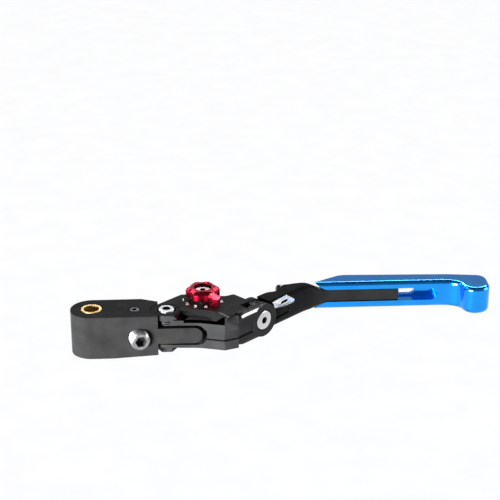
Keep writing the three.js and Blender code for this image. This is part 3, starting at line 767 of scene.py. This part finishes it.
def dial_pointer():
    """An arrow in plan, cut clear of the arm below and to a falling ridge above."""
    low, top = DIAL.low, DIAL.top
    a = math.radians(DIAL.heading)
    out = Vector((math.cos(a), math.sin(a), 0))
    plan = axes((*KNOB[:2], 0), out, UP.cross(out), UP)
    side = axes((*KNOB[:2], 0), out, UP, out.cross(UP))
    across = axes((*KNOB[:2], 0), UP.cross(out), UP, out)
    right = [(POINTER.heel, -POINTER.heel_half), (POINTER.shoulder, -POINTER.shoulder_half)]
    left = [(x, -y) for x, y in reversed(right)]
    pointer = prism(right + [(POINTER.nose, 0)] + left, POINTER.low, POINTER.high, plan)
    under = [(0, 5), (10.2, 5), (10.2, POINTER.low), (9.4, low), (0, low)]
    ridge = top - 0.1
    above = [(0, ridge), (5.4, ridge), (14.6, 13.7), (20, 13.7), (20, 20), (0, 20)]
    cut(pointer, prism(under, -FAR, FAR, side))
    cut(pointer, prism(above, -FAR, FAR, side))
    for hand in (1, -1):
        roof = [(0, top), (hand * 4, top - 3.0), (hand * 4, 20), (0, 20)]
        cut(pointer, prism(roof, -5, 30, across))
    return pointer


def dial_numbers():
    """The six reach positions, white on the arm's top face round the dial."""
    bm = bmesh.new()
    for i in range(DIGITS.count):
        curve = bpy.data.curves.new("digit", "FONT")
        curve.body = str(i + 1)
        curve.size = DIGITS.height * MM
        curve.align_x = "CENTER"
        curve.align_y = "CENTER"
        curve.extrude = DIGITS.thick * MM
        curve.offset = DIGITS.thick * MM
        angle = math.radians(DIGITS.start + DIGITS.step * i)
        radius = DIGITS.radius * MM
        digit = link("digit", curve)
        digit.location = (
            KNOB[0] * MM + radius * math.cos(angle),
            KNOB[1] * MM + radius * math.sin(angle),
            (ARM_HALF + DIGITS.lift) * MM,
        )
        bpy.context.view_layer.update()
        depsgraph = bpy.context.evaluated_depsgraph_get()
        mesh = bpy.data.meshes.new_from_object(digit.evaluated_get(depsgraph))
        mesh.transform(digit.matrix_world)
        bm.from_mesh(mesh)
        bpy.data.objects.remove(digit)
        bpy.data.curves.remove(curve)
        bpy.data.meshes.remove(mesh)
    mesh = bpy.data.meshes.new("dial_numbers")
    bm.to_mesh(mesh)
    bm.free()
    finish_piece(link("dial_numbers", mesh), "arm", "bright_steel", paint=MARK_WHITE)


# ---- blade -------------------------------------------------------------------------------

def blade_front():
    """Points along the blade's front edge in plan, each with its heading in degrees."""
    root_steps, bend_steps, rail_steps = 14, 28, 6
    fold = math.degrees(math.atan2(ALONG.y, ALONG.x))
    bend = hinge_plan(BEND_START, FACE_DEPTH)
    points = []
    for i in range(root_steps + 1):
        along = BLADE_START + (BEND_START - BLADE_START) * i / root_steps
        points.append((hinge_plan(along, FACE_DEPTH), fold))
    curve = bezier([bend, (123, BLADE_FRONT), (RAIL_START, BLADE_FRONT)], bend_steps)
    points += [(point, fold * (1 - (i + 1) / bend_steps)) for i, point in enumerate(curve)]
    for i in range(1, rail_steps + 1):
        points.append(((RAIL_START + (RAIL_END - RAIL_START) * i / rail_steps, BLADE_FRONT), 0))
    return points


def blade_back():
    """The blade's back edge in plan: the hinge's end, the shoulder, then the curve down to the rail."""
    shoulder = (104, 28.2)
    outline = [hinge_plan(-2, ARM_BACK), hinge_plan(13, 12.0), (99, 20.4), (99, shoulder[1]), shoulder]
    outline += bezier([shoulder, (112, 31.2), (119.5, 30.6)], 12)
    return outline + [(126.5, RAIL_BACK), (RAIL_END + OVER, RAIL_BACK)]


def crossing(start, heading, outline):
    """How far from start, square to the heading, the outline lies."""
    near_zero, slack = 1e-9, 1e-6
    way = Vector((-math.sin(math.radians(heading)), math.cos(math.radians(heading))))
    for a, b in zip(outline, outline[1:]):
        a, b = Vector(a), Vector(b)
        edge = b - a
        turn = way.cross(edge)
        if abs(turn) < near_zero:
            continue
        reach = (a - Vector(start)).cross(edge) / turn
        part = (a - Vector(start)).cross(way) / turn
        if reach > 0 and -slack <= part <= 1 + slack:
            return reach
    raise ValueError("the outline is not behind that point")


def section(scale, depth):
    """Cross-section (depth, height): a sloped top edge, a curved front and a chamfered back.
    The slopes grow smaller than the height does, so that the rail is nearly square."""
    full = 8.5  # half the blade's full height
    brow = (0.3, 6.9)
    curve = [brow] + bezier([brow, (0.12, 5.2), (0.0, 3.4), (0, 0)], 6)
    curve += bezier([(0, 0), (0.0, -3.0), (0.35, -5.6), (1.25, -6.6)], 6)
    points = [(2.2, full)] + curve + [(4.2, -full)]
    points = [(n * scale ** 3, z * scale) for n, z in points]
    edge = 1.0 * scale
    half = full * scale
    points += [(depth - edge, -half), (depth, edge - half)]
    return points + [(depth, half - edge), (depth - edge, half)]


def blade_scale(x):
    """The blade's height there as part of its full height."""
    start, end = FLARE
    t = min(max((x - start) / (end - start), 0), 1)
    ease = t * t * (3 - 2 * t)
    return (BLADE_HALF + (RAIL_HALF - BLADE_HALF) * ease) / BLADE_HALF


def blade_loft():
    """The blade's plain form: its section carried along its front edge."""
    back = blade_back()
    rings = []
    for point, heading in blade_front():
        depth = crossing(point, heading, back)
        a = math.radians(heading)
        inward = Vector((-math.sin(a), math.cos(a), 0))
        start = Vector((*point, 0))
        rings.append([start + inward * n + UP * z for n, z in section(blade_scale(point[0]), depth)])
    return loft("blade_machined", rings)


def fold_clearance():
    """The room that the arm's cheeks take up from the blade as it folds."""
    clear = ARM_HALF + GAP
    tangent = 90 - FOLD_ANGLE
    a = math.radians(tangent)
    reach = (clear * math.cos(a), clear * math.sin(a))
    far = (reach[0] - FAR * math.sin(a), reach[1] + FAR * math.cos(a))
    swept = [(-FAR, -clear), (0, -clear)] + arc(0, 0, clear, -90, tangent, 48)[1:] + [far]
    return prism(swept, -(ARM_BACK + GAP), FAR, HINGE)


def blade():
    body = blade_loft()
    cut(body, fold_clearance())
    cut(body, *blade_marks())
    for front, rear in LUG_DEPTHS:
        lug = circle(0, 0, LUG_RADIUS, 96)
        bridge = box_outline(0, -LUG_BRIDGE.half, ARM_HALF + GAP + LUG_BRIDGE.reach, LUG_BRIDGE.half)
        join(body, layer(lug, front, rear), layer(bridge, front, rear))
    cut(body, layer(circle(0, 0, LUG_BORE), -OVER, FAR))
    key = box_outline(KEY.left, RAIL_BACK - KEY.root, KEY.right, KEY.back)
    join(body, prism(key, -KEY.half, KEY.half))
    cut(body, prism(circle(LOCK_HOLE.x, 0, LOCK_HOLE.radius), -FAR, -LOCK_HOLE.front, FRONT))
    cut(body, prism(circle(PIN_HOLE.x, PIN_HOLE.y, PIN_HOLE.radius), 0, FAR))
    soften(body, 0.12, angle=30)
    finish_piece(body, "blade", "satin_black", "folding_arm", paint=BLADE_BLACK_AND_POCKET_SHADE)
    light_facets(body, PATCH.tilt, spread=3)


def blade_marks():
    """Tools for the bright patch with its slot, and the plain recess and line under it."""
    out = leaning(PATCH.tilt)
    origin = (*hinge_plan(0, PATCH.depth), PATCH.height)
    patch = prism(PATCH.outline, 0, PATCH.reach, axes(origin, ALONG, out.cross(ALONG), out))
    return [patch] + [layer(outline, -OVER, depth) for outline, depth in SUNK_MARKS]


# ---- tip ---------------------------------------------------------------------------------

def tip_outline():
    """The tip in plan: straight front, neck, bulb, rounded end, bowed back and heel."""
    end, bulb = TIP_HIGH.x, TIP_LOW.y
    neck_start, front_steps = 190.5, 12
    front = []
    for i in range(front_steps + 1):
        front.append((TIP_LEFT + (neck_start - TIP_LEFT) * i / front_steps, TIP_FRONT))
    neck = bezier([(neck_start, TIP_FRONT), (197, TIP_FRONT), (200.8, 27.4), (201.9, 23.8)], 20)
    left = bezier([(201.9, 23.8), (202.9, 20.2), (205.6, bulb), (209, bulb)], 16)
    right = bezier([(209, bulb), (213.6, bulb), (end, 21), (end, 25.4)], 16)
    corner = bezier([(end, 30.5), (end, 35), (214.6, 37.6), (210.6, 37.8)], 16)
    back = [(196, 39.7), (180, 40.3), (165, 40.85), (150, 41.4), (138.5, TIP_HIGH.y)]
    heel = bezier([(138.5, TIP_HIGH.y), (134.4, 41.6), (132, 39.8)], 8)
    return front + neck + left + right + [(end, 30.5)] + corner + back + heel


def rail_room():
    """The blade's height seen from the front, with clearance, as the tip is cut for it."""
    steps = 24
    upper = []
    for i in range(steps + 1):
        x = FLARE[0] + (FLARE[1] - FLARE[0]) * i / steps
        upper.append((x + GAP, blade_scale(x) * BLADE_HALF + GAP))
    upper = [(FLARE[0] - FAR, BLADE_HALF + GAP)] + upper + [(RAIL_END + GAP, RAIL_HALF + GAP)]
    return [(x, -z) for x, z in upper] + list(reversed(upper))


def tip():
    body = stack("tip_machined", tip_outline(), rounded(-TIP_HALF, TIP_HALF, 1.9, 2.6))
    cut(
        body,
        prism(bar(FRONT_SLOT), -TIP_FLOOR, OVER, FRONT),
        prism(bar(WEB_SLOT), -FAR, OVER, FRONT),
        prism(bar(BACK_GROOVE), -FAR, -WEB_BACK, FRONT),
        prism(rail_room(), -TIP_FLOOR, OVER, FRONT),
        prism(TIP_END_CUT, -FAR, 0, FRONT),
    )
    soften(body, 0.2, angle=55, flatness=0.01)
    finish_piece(body, "tip", "blue_anodised", "lever_tip")


def carried_over():
    """CAD nodes that stay get their finish."""
    slots = {row["node"]: row["material_slot"] for row in frame["record"]["subparts"]}
    for node, thing in frame["nodes"].items():
        thing.data.materials.clear()
        # springs get the very dark steel, partly painted shade of the gaps where they sit
        thing.data.materials.append(DARKER_STEEL_AND_SHADE if "spring" in node else MATERIALS[slots[node]])
        thing.data.shade_smooth()
        thing.data.set_sharp_from_angle(angle=math.radians(32))


base_pieces()
adjuster()
arm()
arm_hardware()
dial()
dial_numbers()
blade()
tip()
carried_over()


# ---- stage, light and camera -------------------------------------------------------------

def stage():
    low = cad_low.z - FLOOR_DROP * MM
    mesh = bpy.data.meshes.new("floor")
    corners = box_outline(-FLOOR_HALF, -FLOOR_HALF, FLOOR_HALF, FLOOR_HALF)
    mesh.from_pydata([(x, y, low) for x, y in corners], [], [(0, 1, 2, 3)])
    floor = link("floor", mesh)
    made, nodes, links, shader = material("floor")
    links.new(
        tint(nodes, links, noise(nodes, links, 40), (0.88, 0.88, 0.88), (0.91, 0.91, 0.91)),
        shader.inputs["Base Color"],
    )
    shader.inputs["Roughness"].default_value = 0.8
    mesh.materials.append(made)
    return floor


def area_light(name, place, size, power, target=(0.1, 0.01, 0)):
    """A rectangular light that faces the target. Metres and watts."""
    data = bpy.data.lights.new(name, "AREA")
    data.shape = "RECTANGLE"
    data.size, data.size_y = size
    data.energy = power
    lamp = link(name, data)
    lamp.location = place
    lamp.rotation_mode = "QUATERNION"
    lamp.rotation_quaternion = (Vector(target) - Vector(place)).to_track_quat("-Z", "Y")
    return lamp


def floor_group(floor, state):
    """A collection that makes a light reach only the floor, or all but the floor."""
    group = bpy.data.collections.new("floor_" + state.lower())
    group.objects.link(floor)
    group.collection_objects[0].light_linking.link_state = state
    return group


def lights(floor):
    """The lever's lights leave the floor to its own, as in a studio with a lit backdrop."""
    lamps = [
        area_light("back_strip", (0.1, 0.72, 0.72), (1.8, 0.16), 18),
        area_light("key", (-0.75, -0.9, 0.02), (0.6, 0.25), 135),
        area_light("right_card", (0.8, -0.06, 0.13), (0.35, 0.25), 2.2),
        area_light("left", (-0.7, 0.05, 0.5), (0.4, 0.4), 1),
    ]
    all_but_floor = floor_group(floor, "EXCLUDE")
    for lamp in lamps:
        lamp.light_linking.receiver_collection = all_but_floor
    sun = bpy.data.lights.new("floor_light", "SUN")
    sun.energy = 2.9
    sun.angle = math.radians(20)
    lamp = link("floor_light", sun)
    lamp.light_linking.receiver_collection = floor_group(floor, "INCLUDE")


def studio():
    """Soft surroundings, a little brighter behind the lever and dark overhead."""
    towards_back = (-0.9, 0.9, 0.3, 0.38)
    towards_top = (0.4, 0.8, 1.0, 0.35)
    world = bpy.data.worlds.new("studio")
    world.use_nodes = True
    nodes, links = world.node_tree.nodes, world.node_tree.links
    where = nodes.new("ShaderNodeTexCoord")
    split = nodes.new("ShaderNodeSeparateXYZ")
    links.new(where.outputs["Generated"], split.inputs["Vector"])
    product = nodes.new("ShaderNodeMath")
    product.operation = "MULTIPLY"
    for i, (axis, spans) in enumerate((("Y", towards_back), ("Z", towards_top))):
        links.new(map_range(nodes, links, split.outputs[axis], spans), product.inputs[i])
    background = nodes["Background"]
    background.inputs["Color"].default_value = (0.94, 0.97, 1.0, 1)
    links.new(product.outputs["Value"], background.inputs["Strength"])
    bpy.context.scene.world = world


def camera():
    a, e = math.radians(AZIMUTH), math.radians(ELEVATION)
    back = Vector((math.sin(a) * math.cos(e), -math.cos(a) * math.cos(e), math.sin(e)))
    data = bpy.data.cameras.new("camera")
    data.lens = LENS
    data.sensor_width = SENSOR
    thing = link("camera", data)
    thing.location = (Vector(AIM) + back * DISTANCE) * MM
    thing.rotation_mode = "QUATERNION"
    thing.rotation_quaternion = (-back).to_track_quat("-Z", "Y")
    bpy.context.scene.camera = thing


lights(stage())
studio()
camera()
bpy.context.scene.view_settings.view_transform = "Standard"
